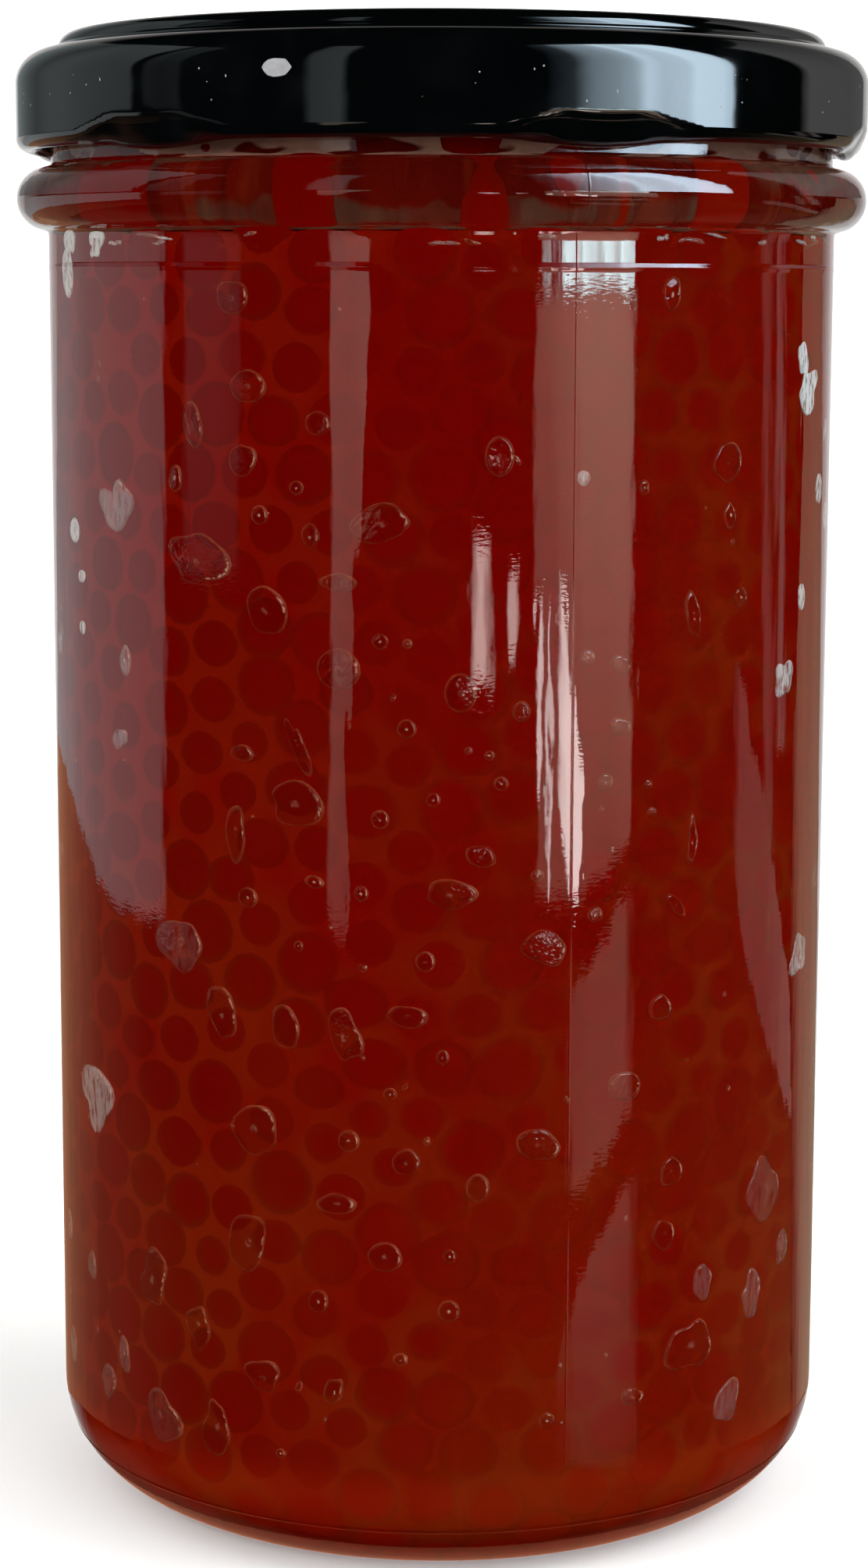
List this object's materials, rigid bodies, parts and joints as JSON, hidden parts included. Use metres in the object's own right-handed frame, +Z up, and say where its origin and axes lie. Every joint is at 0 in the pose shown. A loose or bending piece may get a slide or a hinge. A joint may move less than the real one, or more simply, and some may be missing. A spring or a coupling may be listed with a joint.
{
  "type": "jar of caviar",
  "caption": "Tall straight round glass jar filled with red fish roe, with a round bead under its neck and a black twist-off lid.",
  "frame": {"origin": "middle of the jar's foot, in the plane it stands on", "axes": "+Z up along the axis of the jar and its lid, -Y towards the front, +X to the right of the front view"},
  "size_m": [0.0854, 0.0854, 0.148],
  "materials": {
    "clear_glass": "clear polished glass, faintly grey-brown in the thick parts",
    "black_lacquer": "gloss black lacquer on pressed tinplate",
    "salmon_roe": "wet translucent dark red eggs in an orange-brown brine"
  },
  "bodies": {
    "root": {"glass_jar": "clear_glass", "lid": "black_lacquer", "roe": "salmon_roe"}
  },
  "joints": []
}
